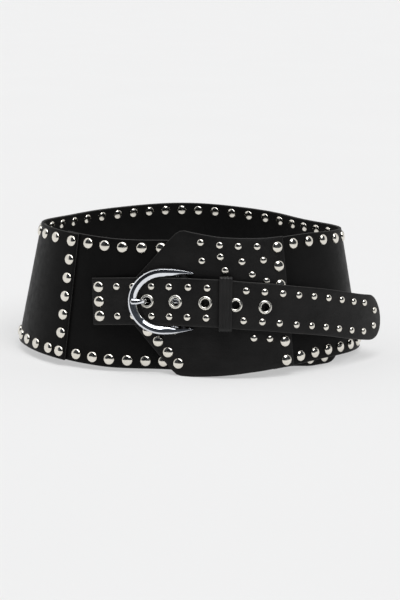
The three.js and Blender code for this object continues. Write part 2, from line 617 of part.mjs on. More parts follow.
const ringRound = (radius, half) => [-half, half].map((y) => Array.from({ length: 16 }, (_, i) => {
  const a = (i / 16) * 2 * Math.PI;
  return inBuckle(radius * Math.cos(a), y, radius * Math.sin(a));
}));
const prongSolid = join([solidOf(loft(ringRound(PRONG_RING, ringWidth))), solidOf(loft(prongRings))])
  .subtract(solidOf(loft(ringRound(BAR_RADIUS + 0.35, ringWidth + 2))));

// chape: leather folded round the bar and laid on the flap
const chapeOuter = BAR_RADIUS + 0.35 + CHAPE_WALL;
const CHAPE_STOPS = [-0.6, 4, 9, 14, 18, CHAPE_LENGTH];
const chapeTab = (() => {
  const rings = CHAPE_STOPS.map((d) => {
    const run = BAR_AT + d;
    const phi = search(lineRun, linePhi, run);
    const low = flapOut(alongOf(phi)) + LEATHER / 2 + CHAPE_LIFT - strapOutAt(phi / RAD);
    const high = low + CHAPE_WALL * 2;
    return [[-CHAPE_HALF, low], [CHAPE_HALF, low], [CHAPE_HALF, high], [-CHAPE_HALF, high]].map(([y, z]) => strapPoint(run, y, z));
  });
  return solidOf(loft(rings));
})();
const chapeBlock = join([chapeTab, solidOf(loft(ringRound(chapeOuter, CHAPE_FOLD)))]);
const chapeBore = solidOf(loft(ringRound(BAR_RADIUS + 0.35, CHAPE_FOLD + 2)));
const slotBox = (() => {
  const corners = [[-5.2, -6], [6, -6], [6, 6], [-5.2, 6]];
  return solidOf(loft([-CHAPE_SLOT, CHAPE_SLOT].map((y) => corners.map(([x, z]) => inBuckle(x, y, z)))));
})();
const chapeSolid = chapeBlock.subtract(chapeBore).subtract(slotBox);

// ---------------------------------------------------------------- part
const leather = { color: 0x1c1b1c, roughness: 0.55, metalness: 0 };
const chrome = { color: 0xd9d9dc, roughness: 0.12, metalness: 1 };
const nickel = { color: 0xc8c5be, roughness: 0.3, metalness: 1 };
const floorCut = (solid) => solid.trimByPlane([0, 0, 1], FLOOR);

const pieces = [
  { name: 'side_back_panel', geometry: backToGeometry(floorCut(sideSolid)), look: leather },
  { name: 'front_left_panel', geometry: backToGeometry(frontSolid), look: leather },
  { name: 'front_flap', geometry: backToGeometry(floorCut(flapSolid)), look: leather },
  { name: 'buckle_strap', geometry: backToGeometry(strapSolid), look: leather },
  { name: 'keeper_loop', geometry: backToGeometry(keeperSolid), look: leather },
  { name: 'buckle_chape', geometry: backToGeometry(chapeSolid), look: leather },
  { name: 'buckle_frame', geometry: backToGeometry(frameSolid), look: chrome },
  { name: 'buckle_prong', geometry: backToGeometry(prongSolid), look: chrome },
  ...eyeletGeometries.map((g, i) => ({ name: 'eyelet_' + (i + 1), geometry: backToGeometry(solidOf(g)), look: nickel })),
];

const box = new THREE.Box3();
pieces.forEach((q) => { q.geometry.computeBoundingBox(); box.union(q.geometry.boundingBox); });
const middle = box.getCenter(new THREE.Vector3());
const belt = new THREE.Group();
belt.name = 'studded_belt';
for (const q of pieces) {
  q.geometry.translate(-middle.x, -middle.y, -box.min.z);
  q.geometry.computeVertexNormals();
  const mesh = new THREE.Mesh(q.geometry, new THREE.MeshStandardMaterial({ ...q.look, flatShading: true }));
  mesh.name = q.name;
  belt.add(mesh);
}

export default belt;
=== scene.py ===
import math

import bpy
import bmesh
import numpy as np
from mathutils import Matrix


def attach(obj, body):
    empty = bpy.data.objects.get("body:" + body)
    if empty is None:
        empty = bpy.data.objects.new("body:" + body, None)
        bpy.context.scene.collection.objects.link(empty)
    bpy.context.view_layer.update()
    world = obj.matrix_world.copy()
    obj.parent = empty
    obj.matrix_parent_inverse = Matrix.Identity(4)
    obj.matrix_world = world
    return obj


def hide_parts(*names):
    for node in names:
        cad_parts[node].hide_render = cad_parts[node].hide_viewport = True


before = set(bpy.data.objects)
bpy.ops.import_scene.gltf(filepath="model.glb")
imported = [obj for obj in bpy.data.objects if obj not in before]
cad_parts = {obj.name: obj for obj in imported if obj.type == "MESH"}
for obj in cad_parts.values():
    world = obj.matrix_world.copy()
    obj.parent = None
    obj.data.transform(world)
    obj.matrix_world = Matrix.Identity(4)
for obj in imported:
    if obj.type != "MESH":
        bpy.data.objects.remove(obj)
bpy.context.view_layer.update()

# ------------------------------------------------------------------ sizes, mm
SHIFT = np.array([8.684, 14.836, -0.6])      # the part's origin in the tables' frame
PANEL_HEIGHT = 110.0
LEATHER = 2.2
ROW_LOW, ROW_HIGH, COLUMN_PITCH = 7.0, 103.0, 16.0
SIDE_EDGE, LEFT_COLUMN, RIGHT_COLUMN, SIDE_END = 101.4, 107.6, -79.6, -70.0
FRONT_START, FRONT_END, FRONT_CORNER, FLAP_EDGE = 118.0, -150.0, 18.0, -86.4
FLOOR = -0.6
TOP_COUNT, BOTTOM_COUNT = 32, 40

STRAP_WIDTH, STRAP_START, STRAP_LENGTH = 40.0, 43.1, 286.3
STRAP_ROW, STRAP_FIRST_STUD, STRAP_SECOND_STUD, STRAP_PITCH, STRAP_STUDS = 12.5, 22.5, 36.2, 15.84, 15
STRAP_RIVET_AT, STRAP_RIVET_SPREAD = 6.2, 12.4
EYELET_COUNT, EYELET_FIRST, EYELET_PITCH = 5, 48.3, 25.05
KEEPER_AT, KEEPER_TURN, KEEPER_WIDTH, KEEPER_WALL, KEEPER_TALL, KEEPER_DEEP, KEEPER_PROUD = 115.2, 3.4, 10.8, 1.3, 43.4, 5.2, 0.35
BAR_AT, BAR_OFFSET, BAR_RADIUS = 79.3, 8.6, 1.45
FRAME_ROLL = 5.0          # degrees the flat of the frame faces upward on its two arms
FRAME_TILT, FRAME_TURN, FRAME_ROUND_AT, FRAME_LONG, FRAME_TALL = 14.3, -1.2, 17.5, 25.8, 24.2
FRAME_ARM_END, FRAME_ARM_SPREAD, FRAME_WIDE, FRAME_THICK = -7.6, 23.4, 6.8, 3.6
PRONG_WIDE, PRONG_THICK, PRONG_RING = 4.2, 1.9, 3.0
CHAPE_WALL, CHAPE_HALF, CHAPE_FOLD, CHAPE_LENGTH, CHAPE_SLOT, CHAPE_LIFT = 1.15, 17.0, 20.9, 22.0, 3.1, 0.9

# plan of the belt at mid height: azimuth, radius, lean over the height, lift of the bottom edge
PLAN = [
    dict(azimuth=-180.0, radius=136.5, flare=12.0, lift=-0.9),
    dict(azimuth=-157.5, radius=128.2, flare=13.3, lift=-0.9),
    dict(azimuth=-135.0, radius=126.5, flare=17.5, lift=-0.9),
    dict(azimuth=-112.5, radius=130.1, flare=21.1, lift=-0.4),
    dict(azimuth=-90.0, radius=144.9, flare=21.1, lift=2.2),
    dict(azimuth=-67.5, radius=134.1, flare=19.0, lift=5.9),
    dict(azimuth=-45.0, radius=121.3, flare=17.3, lift=6.7),
    dict(azimuth=-22.5, radius=108.6, flare=16.6, lift=3.6),
    dict(azimuth=0.0, radius=93.5, flare=15.5, lift=2.6),
    dict(azimuth=22.5, radius=95.0, flare=14.1, lift=2.4),
    dict(azimuth=45.0, radius=116.8, flare=14.3, lift=4.0),
    dict(azimuth=67.5, radius=133.8, flare=17.7, lift=6.0),
    dict(azimuth=90.0, radius=141.8, flare=22.4, lift=4.6),
    dict(azimuth=112.5, radius=135.1, flare=22.5, lift=1.2),
    dict(azimuth=135.0, radius=135.0, flare=19.0, lift=-0.9),
    dict(azimuth=157.5, radius=134.0, flare=14.8, lift=-0.9),
]
SIDE_LAYER = [dict(along=a, out=o) for a, o in ((-400, 0), (0, 0), (100, 1.4), (125, 1.4), (165, 0), (500, 0))]
FRONT_LAYER = [dict(along=a, out=o) for a, o in (
    (-160, -5.6), (-90, -5.6), (-70, -5.2), (-30, -3.6), (0, -1.8), (20, -0.6), (40, 0), (60, 0), (85, -1.35), (130, -1.35))]
FLAP_LAYER = [dict(along=a, out=o) for a, o in ((-95, 2.7), (-60, 2.7), (-30, 3.0), (0, 3.6), (20, 4.0), (60, 4.0))]
FRONT_BOTTOM = [dict(along=a, low=o) for a, o in ((-160, -7.2), (-115, -6.3), (-90, -2.4), (-67, -0.6), (-40, 0), (130, 0))]
FLAP_OUTLINE = [dict(along=a, low=l, high=h) for a, l, h in (
    (54.5, 54.2, 64.6), (52.5, 50.0, 68.7), (17.0, 7.5, 111.3), (12.0, 1.5, 116.4), (8.0, -2.2, 118.8), (4.0, -3.5, 119.5),
    (-3.0, -3.5, 118.4), (-28.0, -1.5, 115.3), (-48.0, 0.3, 113.8), (-70.0, 1.3, 112.0), (-87.0, 0.6, 111.3))]
FLAP_RIVETS = [(31.5, 33.6), (23.0, 25.2), (14.8, 16.2), (6.4, 7.3)]
FLAP_STUDS = [
    (-11.4, 110.2), (-28.3, 108.4), (-44.4, 107.1), (-60.8, 105.6), (-12.6, 94.8), (-28.7, 98.7), (-47.0, 94.1),
    (-65.6, 93.7), (-32.5, 87.4), (-55.1, 82.6), (-67.2, 75.9), (-53.6, 29.4), (-66.6, 27.3)]
FRONT_ROW_HIGH = [92.2, 75.8, 59.4, 42.6, 25.2]
FRONT_ROW_LOW = [93, 78.1, 63.3, 48.5, 33.6, 19.2]
UNDERLAP_RIVETS = [(-111.4, 0.6), (-128.6, -0.2)]
TOP_ROW = [dict(rivet=r, along=a) for r, a in (
    (0, 107.6), (1, 129.0), (3, 172.0), (6, 237.7), (9, 305.6), (12, 361.8), (16, 432.2), (21, 532.6), (24, 590.0), (27, 653.5))]
BOTTOM_ROW = [dict(rivet=r, along=a) for r, a in ((0, 107.6), (1, 119.6), (2, 136.3), (3, 153.0), (20, 430.0))]
STRAP_LINE = [dict(azimuth=a, out=o, up=u) for a, o, u in (
    (60, 2.6, 52.4), (46, 2.6, 54.6), (41, 2.8, 56.0), (36, 5.2, 57.6), (30, 7.5, 58.9), (23, 9.3, 59.8), (16, 11.3, 60.5),
    (9, 13.5, 61.1), (4, 14.2, 61.7), (0, 13.8, 61.8), (-8, 11.6, 61.6), (-16, 9.3, 60.7), (-24, 8.4, 58.5), (-32, 8.0, 55.7),
    (-44, 9.4, 49.6), (-58, 13.3, 42.5), (-72, 18.0, 34.4), (-79, 22.0, 31.2), (-90, 30.0, 28.0))]
TIP_STUDS = [(274.8, 6.2), (272.8, -7.2)]
PRONG_LINE = [
    (1.2, -1.9), (8, -1.8), (14, -3.3), (20, -5.5), (23.9, -7.5), (28.1, -7.3), (30.9, -3.9), (32.7, -0.7), (36.4, 2.2),
    (39.6, 3.3), (44.9, 3.4)]


# ------------------------------------------------------------------ tables and surface
def harmonics(key):
    n = len(PLAN)
    az = np.radians([r["azimuth"] for r in PLAN])
    v = np.array([r[key] for r in PLAN])
    rows = []
    for k in range(n // 2 + 1):
        share = 0.5 if k in (0, n // 2) else 1.0
        rows.append((k, share * 2 / n * (v * np.cos(k * az)).sum(), share * 2 / n * (v * np.sin(k * az)).sum()))
    return lambda phi: sum(a * np.cos(k * phi) + b * np.sin(k * phi) for k, a, b in rows)


radius_at, flare_at, lift_at = harmonics("radius"), harmonics("flare"), harmonics("lift")


def surface(phi, up, out):
    phi, up, out = np.broadcast_arrays(np.asarray(phi, float), np.asarray(up, float), np.asarray(out, float))
    lean = flare_at(phi) / PANEL_HEIGHT
    r = radius_at(phi) + (PANEL_HEIGHT / 2 - up) * lean + out
    return np.stack([-r * np.sin(phi), -r * np.cos(phi), lift_at(phi) + up * np.sqrt(1 - lean * lean)], -1)


def smooth(table, xk, yk):
    rows = sorted(table, key=lambda r: r[xk])
    x = np.array([r[xk] for r in rows], float)
    y = np.array([r[yk] for r in rows], float)
    h = np.diff(x)
    d = np.diff(y) / h
    m = np.zeros(len(x))
    m[0], m[-1] = d[0], d[-1]
    for i in range(1, len(x) - 1):
        if d[i - 1] * d[i] > 0:
            w1, w2 = 2 * h[i] + h[i - 1], h[i] + 2 * h[i - 1]
            m[i] = (w1 + w2) / (w1 / d[i - 1] + w2 / d[i])

    def read(v):
        v = np.asarray(v, float)
        i = np.clip(np.searchsorted(x, v, side="left") - 1, 0, len(x) - 2)
        t = np.clip((v - x[i]) / h[i], 0, 1)
        t2, t3 = t * t, t * t * t
        return ((2 * t3 - 3 * t2 + 1) * y[i] + (t3 - 2 * t2 + t) * h[i] * m[i]
                + (-2 * t3 + 3 * t2) * y[i + 1] + (t3 - t2) * h[i] * m[i + 1])
    return read


def straight(table, xk, yk):
    rows = sorted(table, key=lambda r: r[xk])
    x = np.array([r[xk] for r in rows], float)
    y = np.array([r[yk] for r in rows], float)
    return lambda v: lookup(x, y, v)


def lookup(xs, ys, v):
    v = np.asarray(v, float)
    i = np.clip(np.searchsorted(xs, v, side="right") - 1, 0, len(xs) - 2)
    return ys[i] + (v - xs[i]) / (xs[i + 1] - xs[i]) * (ys[i + 1] - ys[i])


ROUND_STEPS = 1440
round_phi = -math.pi + 2 * math.pi * np.arange(int(ROUND_STEPS * 1.5) + 1) / ROUND_STEPS
_mid = surface(round_phi, PANEL_HEIGHT / 2, 0)
round_along = np.concatenate([[0], np.cumsum(np.linalg.norm(np.diff(_mid, axis=0), axis=1))])
round_along -= round_along[ROUND_STEPS // 2]
phi_of = lambda a: lookup(round_along, round_phi, a)
along_of = lambda p: lookup(round_phi, round_along, p)
ROUND = float(along_of(math.pi) - along_of(-math.pi))

_side = smooth(SIDE_LAYER, "along", "out")
side_out = lambda a: _side(np.where(np.asarray(a, float) > 400, np.asarray(a, float) - ROUND, a))
front_out = smooth(FRONT_LAYER, "along", "out")
flap_out = smooth(FLAP_LAYER, "along", "out")
front_low = smooth(FRONT_BOTTOM, "along", "low")
flap_low = straight(FLAP_OUTLINE, "along", "low")
flap_high = straight(FLAP_OUTLINE, "along", "high")


def unit(v):
    return v / np.linalg.norm(v, axis=-1, keepdims=True)


def seat(along, up, out_at):
    along, up = np.broadcast_arrays(np.asarray(along, float), np.asarray(up, float))
    phi = phi_of(along)
    e = 0.002
    a = surface(phi - e, up, out_at(along_of(phi - e)))
    b = surface(phi + e, up, out_at(along_of(phi + e)))
    p = surface(phi, up, out_at(along))
    rise = unit(surface(phi, up + 1, out_at(along)) - p)
    normal = unit(np.cross(rise, unit(b - a)))
    flat = p.copy()
    flat[..., 2] = 0
    normal = np.where(((normal * flat).sum(-1) < 0)[..., None], -normal, normal)
    return p, normal, rise


def row_of(table, count, end):
    return smooth(table + [dict(rivet=count - 1, along=end)], "rivet", "along")(np.arange(count))


# ------------------------------------------------------------------ meshes
def make(name, points, faces, materials, marks=None, sharp=None):
    """points in mm in the tables' frame; marks is one material number a face."""
    pts = (np.asarray(points, float).reshape(-1, 3) - SHIFT) / 1000
    me = bpy.data.meshes.new(name)
    me.from_pydata(pts.tolist(), [], [tuple(int(i) for i in f) for f in faces])
    for m in materials:
        me.materials.append(m)
    if marks is not None:
        me.polygons.foreach_set("material_index", np.asarray(marks, np.int32))
    bm = bmesh.new()
    bm.from_mesh(me)
    bmesh.ops.recalc_face_normals(bm, faces=bm.faces)
    bm.to_mesh(me)
    bm.free()
    me.shade_smooth()
    if sharp:
        me.set_sharp_from_angle(angle=math.radians(sharp))
    me.update()
    ob = bpy.data.objects.new(name, me)
    bpy.context.scene.collection.objects.link(ob)
    return ob


def tube_faces(rings, n, offset=0, closed=False):
    """quads between rings of n points each"""
    faces = []
    last = rings if closed else rings - 1
    for i in range(last):
        j = (i + 1) % rings
        for k in range(n):
            k2 = (k + 1) % n
            faces.append((offset + i * n + k, offset + j * n + k, offset + j * n + k2, offset + i * n + k2))
    return faces


def sweep(name, rings, materials, marks=None, caps=True, closed=False, sharp=None, cap_mark=0):
    rings = np.asarray(rings, float)
    r, n = rings.shape[:2]
    faces = tube_faces(r, n, closed=closed)
    m = [marks[k] for _ in range(r if closed else r - 1) for k in range(n)] if marks is not None else [0] * len(faces)
    if caps and not closed:
        faces += [tuple(range(n)), tuple((r - 1) * n + k for k in range(n))]
        m += [cap_mark, cap_mark]
    return make(name, rings, faces, materials, m, sharp)


def section_loop(low, high, rows):
    """One panel section as (share of the way up in mm, share of the half thickness), outer face first."""
    inset = np.array([0.0, 0.14, 0.45])
    share = np.array([0.55, 0.86, 1.0])
    return inset, share, rows


def panel_piece(name, start, end, low_at, high_at, out_at, materials, step=2.4, rows=26, stops=(), swell=None):
    sign = 1 if end > start else -1
    n = int(abs(end - start) / step)
    cuts = list(np.linspace(start, end, n + 1)[1:-1])
    ends = [(0.0, 0.5), (0.14, 0.84), (0.5, 1.0)]
    cuts = [c for c in cuts if abs(c - start) > 1.2 and abs(c - end) > 1.2 and all(abs(c - s) > 0.6 for s in stops)]
    entries = [(start + sign * d, s) for d, s in ends] + [(c, 1.0) for c in cuts] + [(s, 1.0) for s in stops] \
        + [(end - sign * d, s) for d, s in ends]
    entries.sort(key=lambda q: sign * q[0])
    along = np.array([q[0] for q in entries])
    scale = np.array([q[1] for q in entries])
    low, high = low_at(along), high_at(along)
    half = LEATHER / 2
    cols = []
    marks = []
    t = np.linspace(0, 1, rows + 1)
    for k, s in enumerate(t):
        cols.append((low + 0.45 + (high - low - 0.9) * s, np.full(len(along), half)))
        marks.append(0)
    marks[-1] = 1
    for d, s in ((0.14, 0.86), (0.0, 0.55), (0.0, -0.55), (0.14, -0.86)):
        cols.append((high - d, np.full(len(along), half * s)))
        marks.append(1)
    for k, s in enumerate(t[::-1]):
        cols.append((low + 0.45 + (high - low - 0.9) * s, np.full(len(along), -half)))
        marks.append(2)
    marks[-1] = 1
    for d, s in ((0.14, -0.86), (0.0, -0.55), (0.0, 0.55), (0.14, 0.86)):
        cols.append((low + d, np.full(len(along), half * s)))
        marks.append(1)
    ups = np.stack([c[0] for c in cols], 1)
    offs = np.stack([c[1] for c in cols], 1) * scale[:, None]
    p, nrm, _ = seat(along[:, None] + 0 * ups, ups, out_at)
    if swell is not None:
        offs = offs + swell(along[:, None], ups)
    rings = p + nrm * offs[..., None]
    rings[..., 2] = np.maximum(rings[..., 2], FLOOR)
    return sweep(name, rings, materials, marks, cap_mark=1)


def lathe_points(p, normal, rise, profile, segments):
    side = unit(np.cross(rise, normal))
    upright = np.cross(normal, side)
    a = 2 * math.pi * (np.arange(segments) + 0.5) / segments
    prof = np.asarray(profile, float)
    ring = side[..., None, :] * np.cos(a)[:, None] + upright[..., None, :] * np.sin(a)[:, None]       # segments
    return (p[..., None, None, :] + ring[..., None, :, :] * prof[:, 0][:, None, None]
            + normal[..., None, None, :] * prof[:, 1][:, None, None])                                  # profile, segments


def domes(name, places, face, profile, segments, material):
    """Round caps on a face: places is a list of (p, normal, rise)."""
    pts, faces = [], []
    count = 0
    for p, nrm, rise in places:
        nn = nrm * face
        base = p + nn * LEATHER / 2
        g = lathe_points(base, nn, rise, profile[:-1], segments)
        top = base + nn * profile[-1][1]
        k = g.shape[0]
        faces += tube_faces(k, segments, count)
        last = count + (k - 1) * segments
        faces += [(last + i, last + (i + 1) % segments, count + k * segments) for i in range(segments)]
        faces.append(tuple(count + i for i in range(segments)))
        pts.append(g.reshape(-1, 3))
        pts.append(top[None])
        count += k * segments + 1
    return make(name, np.concatenate(pts), faces, [material], sharp=50)


def cap_profile(radius, rise, skirt=0.15, foot=-0.4, steps=9):
    """A low dome, flatter in the middle and rounder at its rim, on a short upright skirt."""
    rows = [(radius * 0.97, foot), (radius, 0.0), (radius, skirt)]
    for i in range(1, steps):
        t = math.pi / 2 * i / steps
        rows.append((radius * math.cos(t), skirt + (rise - skirt) * math.sqrt(1 - math.cos(t) ** 2.6)))
    rows.append((0.0, rise))
    return rows


RIVET = cap_profile(4.75, 2.35)
CAP = cap_profile(4.5, 2.0, steps=8)
STUD = cap_profile(3.0, 1.55, skirt=0.1, foot=-0.3, steps=7)


# ------------------------------------------------------------------ materials
def node_material(name):
    m = bpy.data.materials.new(name)
    m.use_nodes = True
    t = m.node_tree
    bsdf = t.nodes["Principled BSDF"]
    return m, t, bsdf


def noise(t, coords, scale, detail=3.0, rough=0.5, stretch=None):
    tex = t.nodes.new("ShaderNodeTexNoise")
    tex.inputs["Scale"].default_value = scale
    tex.inputs["Detail"].default_value = detail
    tex.inputs["Roughness"].default_value = rough
    if stretch:
        mp = t.nodes.new("ShaderNodeMapping")
        mp.inputs["Scale"].default_value = stretch
        t.links.new(coords, mp.inputs["Vector"])
        t.links.new(mp.outputs["Vector"], tex.inputs["Vector"])
    else:
        t.links.new(coords, tex.inputs["Vector"])
    return tex.outputs["Fac"]


def ramp(t, fac, stops):
    r = t.nodes.new("ShaderNodeValToRGB")
    e = r.color_ramp.elements
    while len(e) < len(stops):
        e.new(0.5)
    for item, (pos, col) in zip(e, stops):
        item.position = pos
        item.color = (*col, 1.0) if len(col) == 3 else col
    t.links.new(fac, r.inputs["Fac"])
    return r.outputs["Color"]


def bump(t, height, strength, distance, below=None):
    b = t.nodes.new("ShaderNodeBump")
    b.inputs["Strength"].default_value = strength
    b.inputs["Distance"].default_value = distance
    t.links.new(height, b.inputs["Height"])
    if below is not None:
        t.links.new(below, b.inputs["Normal"])
    return b.outputs["Normal"]


def leather(name, dark, light, rough, grain, crease, specular=0.3):
    """Black coated leather: fine pebbled grain, faint long creases, uneven gloss."""
    m, t, b = node_material(name)
    co = t.nodes.new("ShaderNodeTexCoord").outputs["Object"]
    wide = noise(t, co, 38, 4, 0.55)
    t.links.new(ramp(t, wide, [(0.32, dark), (0.7, light)]), b.inputs["Base Color"])
    r = rough
    t.links.new(ramp(t, noise(t, co, 160, 5, 0.6), [(0.3, (r - 0.07,) * 3), (0.72, (r + 0.09,) * 3)]), b.inputs["Roughness"])
    b.inputs["Specular IOR Level"].default_value = specular
    vor = t.nodes.new("ShaderNodeTexVoronoi")
    vor.feature = "SMOOTH_F1"
    vor.inputs["Scale"].default_value = 1150
    vor.inputs["Smoothness"].default_value = 0.6
    t.links.new(co, vor.inputs["Vector"])
    n1 = bump(t, vor.outputs["Distance"], grain, 0.00016)
    n2 = bump(t, noise(t, co, 70, 6, 0.62, (0.5, 0.5, 1.6)), crease, 0.0011, n1)
    n3 = bump(t, noise(t, co, 11, 2, 0.5), crease * 0.8, 0.004, n2)
    t.links.new(n3, b.inputs["Normal"])
    return m


def cut_edge(name, dark, light):
    """Raw painted leather edge, a little fibrous."""
    m, t, b = node_material(name)
    co = t.nodes.new("ShaderNodeTexCoord").outputs["Object"]
    fibre = noise(t, co, 900, 4, 0.65)
    t.links.new(ramp(t, fibre, [(0.3, dark), (0.7, light)]), b.inputs["Base Color"])
    b.inputs["Roughness"].default_value = 0.62
    b.inputs["Specular IOR Level"].default_value = 0.4
    t.links.new(bump(t, fibre, 0.25, 0.0002), b.inputs["Normal"])
    return m


def metal(name, dark, light, rough, wander, scale=220.0, wave=0.02, distance=0.0004):
    """Plated metal: slight tone and gloss changes, very shallow waviness."""
    m, t, b = node_material(name)
    co = t.nodes.new("ShaderNodeTexCoord").outputs["Object"]
    b.inputs["Metallic"].default_value = 1.0
    tone = noise(t, co, scale, 4, 0.6)
    t.links.new(ramp(t, tone, [(0.3, dark), (0.68, light)]), b.inputs["Base Color"])
    t.links.new(ramp(t, noise(t, co, scale * 3.1, 5, 0.6), [(0.35, (rough,) * 3), (0.75, (rough + wander,) * 3)]), b.inputs["Roughness"])
    t.links.new(bump(t, noise(t, co, scale * 1.7, 2, 0.5), wave, distance), b.inputs["Normal"])
    return m


panel_black = leather("panel_black", (0.0038, 0.0037, 0.0037), (0.0062, 0.0060, 0.0059), 0.44, 0.20, 0.08, 0.08)
flap_black = leather("flap_black", (0.0040, 0.0038, 0.0038), (0.0098, 0.0094, 0.0092), 0.46, 0.50, 0.40, 0.20)
strap_black = leather("strap_black", (0.0046, 0.0044, 0.0044), (0.0108, 0.0103, 0.0101), 0.46, 0.50, 0.40, 0.22)
keeper_black = leather("keeper_black", (0.0070, 0.0067, 0.0067), (0.0120, 0.0114, 0.0112), 0.42, 0.25, 0.10, 0.34)
# the lining's own matte black, set darker than the outer leather so the inside of the belt stays shaded under the
# glowing floor: partly painted shade
lining_black_and_shade = leather("lining_black_and_shade", (0.0028, 0.0027, 0.0027), (0.0045, 0.0043, 0.0042), 0.62, 0.30, 0.05, 0.15)
edge_black = cut_edge("edge_black", (0.014, 0.0135, 0.013), (0.032, 0.031, 0.029))
rivet_nickel = metal("rivet_nickel", (0.76, 0.725, 0.65), (0.84, 0.81, 0.74), 0.09, 0.07)
eyelet_nickel = metal("eyelet_nickel", (0.70, 0.68, 0.62), (0.80, 0.78, 0.72), 0.20, 0.10)
buckle_chrome = metal("buckle_chrome", (0.78, 0.80, 0.84), (0.85, 0.87, 0.91), 0.03, 0.03, 90.0, 0.01)
bar_steel = metal("bar_steel", (0.030, 0.030, 0.033), (0.050, 0.050, 0.054), 0.34, 0.12)

PANEL = [panel_black, edge_black, lining_black_and_shade]
FLAP = [flap_black, edge_black, lining_black_and_shade]
STRAP = [strap_black, edge_black, lining_black_and_shade]


def place(ob, slot, *nodes):
    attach(ob, "root")
    if nodes:
        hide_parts(*nodes)
    return ob


# ------------------------------------------------------------------ panels
def split(places):
    p, n, r = places
    return [(p[i], n[i], r[i]) for i in range(len(p))]


right = RIGHT_COLUMN + ROUND
top_row = row_of(TOP_ROW, TOP_COUNT, right)
bottom_row = row_of(BOTTOM_ROW, BOTTOM_COUNT, right)
column = ROW_LOW + COLUMN_PITCH * np.arange(7)
side_places = [(a, ROW_HIGH) for a in top_row[:-1]] + [(a, ROW_LOW) for a in bottom_row[:-1]] + [(LEFT_COLUMN, u) for u in column[1:-1]]
side_xy = np.array(side_places)
side = panel_piece("side_panel", SIDE_EDGE, SIDE_END + ROUND, lambda a: 0 * a, lambda a: 0 * a + PANEL_HEIGHT, side_out, PANEL, stops=(125.0, 165.0))
place(side, "panel_leather", "side_back_panel")
side_seats = split(seat(side_xy[:, 0], side_xy[:, 1], side_out))
place(domes("side_rivets", side_seats, 1, RIVET, 28, rivet_nickel), "rivet_nickel")
inside = [q for q, (a, u) in zip(side_seats, side_places) if u == ROW_HIGH and FRONT_START + 4.2 < a < ROUND + FRONT_END - 6]
place(domes("side_rivet_caps", inside, -1, CAP, 26, rivet_nickel), "rivet_nickel")


def front_low_rounded(a):
    i = a - FRONT_END
    h = np.clip(FRONT_CORNER - i, 0, FRONT_CORNER)
    return front_low(a) + FRONT_CORNER - np.sqrt(np.maximum(0, FRONT_CORNER ** 2 - h * h))


front = panel_piece(
    "front_left", FRONT_START, FRONT_END, front_low_rounded, lambda a: front_low(a) + PANEL_HEIGHT, front_out, PANEL,
    stops=tuple(FRONT_END + d for d in (0.9, 1.6, 2.8, 4.2, 6, 8.5, 11, 14, 18)))
place(front, "panel_leather", "front_left_panel")
front_xy = np.array([(a, ROW_HIGH) for a in FRONT_ROW_HIGH] + [(a, ROW_LOW) for a in FRONT_ROW_LOW] + UNDERLAP_RIVETS)
place(domes("front_left_rivets", split(seat(front_xy[:, 0], front_xy[:, 1], front_out)), 1, RIVET, 28, rivet_nickel), "rivet_nickel")

flap = panel_piece(
    "front_flap_leather", FLAP_OUTLINE[0]["along"], FLAP_EDGE, flap_low, flap_high, flap_out, FLAP, step=2.0,
    stops=tuple(r["along"] for r in FLAP_OUTLINE[1:-1]),
    swell=lambda a, u: 0.16 * np.sin(a / 9.0 + u / 23.0) * np.sin(u / 13.0 + a / 31.0))
place(flap, "flap_leather", "front_flap")
flap_rivet_xy = np.array([(RIGHT_COLUMN, u) for u in column] + FLAP_RIVETS)
place(domes("flap_rivets", split(seat(flap_rivet_xy[:, 0], flap_rivet_xy[:, 1], flap_out)), 1, RIVET, 28, rivet_nickel), "rivet_nickel")
flap_stud_xy = np.array(FLAP_STUDS)
place(domes("flap_studs", split(seat(flap_stud_xy[:, 0], flap_stud_xy[:, 1], flap_out)), 1, STUD, 22, rivet_nickel), "rivet_nickel")

# ------------------------------------------------------------------ strap
strap_out_at = smooth(STRAP_LINE, "azimuth", "out")
strap_up_at = smooth(STRAP_LINE, "azimuth", "up")
line_phi = np.radians(STRAP_START - 0.1 * np.arange(int((STRAP_START + 95) / 0.1) + 1))
line_point = lambda phi: surface(phi, strap_up_at(np.degrees(phi)), strap_out_at(np.degrees(phi)))
line_run = np.concatenate([[0], np.cumsum(np.linalg.norm(np.diff(line_point(line_phi), axis=0), axis=1))])
strap_phi = lambda run: lookup(line_run, line_phi, run)


def strap_frame(run):
    run = np.asarray(run, float)
    phi = strap_phi(run)
    p = line_point(phi)
    along = unit(line_point(strap_phi(run + 4)) - line_point(strap_phi(np.maximum(run - 4, -3))))
    u = strap_up_at(np.degrees(phi))
    wall = surface(phi, u + 1, 0) - surface(phi, u, 0)
    wide = unit(wall - along * (wall * along).sum(-1, keepdims=True))
    return p, along, wide, unit(np.cross(along, wide))


def strap_point(run, across, out):
    p, _, wide, normal = strap_frame(run)
    return p + wide * np.asarray(across, float)[..., None] + normal * np.asarray(out, float)[..., None]


def strap_seats(pairs):
    r = np.array(pairs, float)
    p, _, wide, normal = strap_frame(r[:, 0])
    return [(p[i] + wide[i] * r[i, 1], normal[i], wide[i]) for i in range(len(r))]


